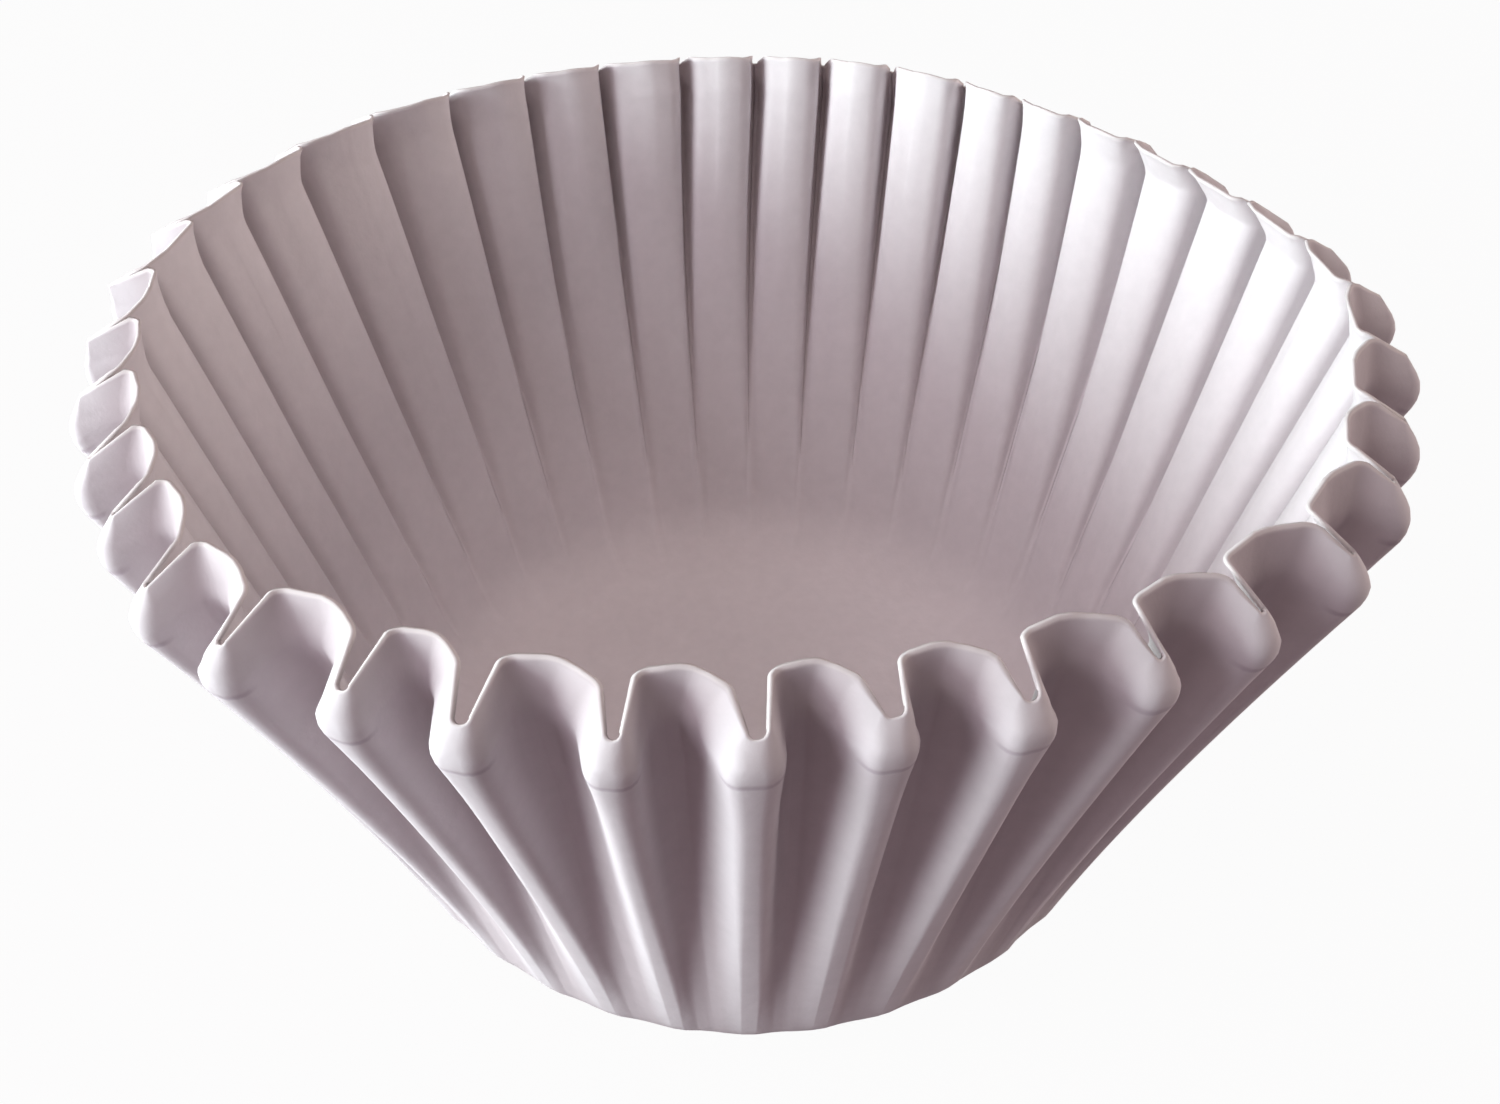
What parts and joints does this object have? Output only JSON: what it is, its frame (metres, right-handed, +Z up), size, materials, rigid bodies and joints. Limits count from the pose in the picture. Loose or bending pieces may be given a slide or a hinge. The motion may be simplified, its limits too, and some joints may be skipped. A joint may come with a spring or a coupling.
{
  "type": "cupcake liner",
  "caption": "Pleated paper cup with a flat round floor, a flared fluted wall and a press crease below its rim, open at the top to hold cake batter.",
  "frame": {"origin": "middle of the underside of the flat floor", "axes": "+Z up along the cup's axis, out of its open mouth; a flute's crest points along -Y"},
  "size_m": [0.0732, 0.0734, 0.0372],
  "materials": {
    "paper": "thin uncoated greaseproof baking paper, soft and slightly translucent"
  },
  "bodies": {
    "root": {"liner": "paper"}
  },
  "joints": []
}
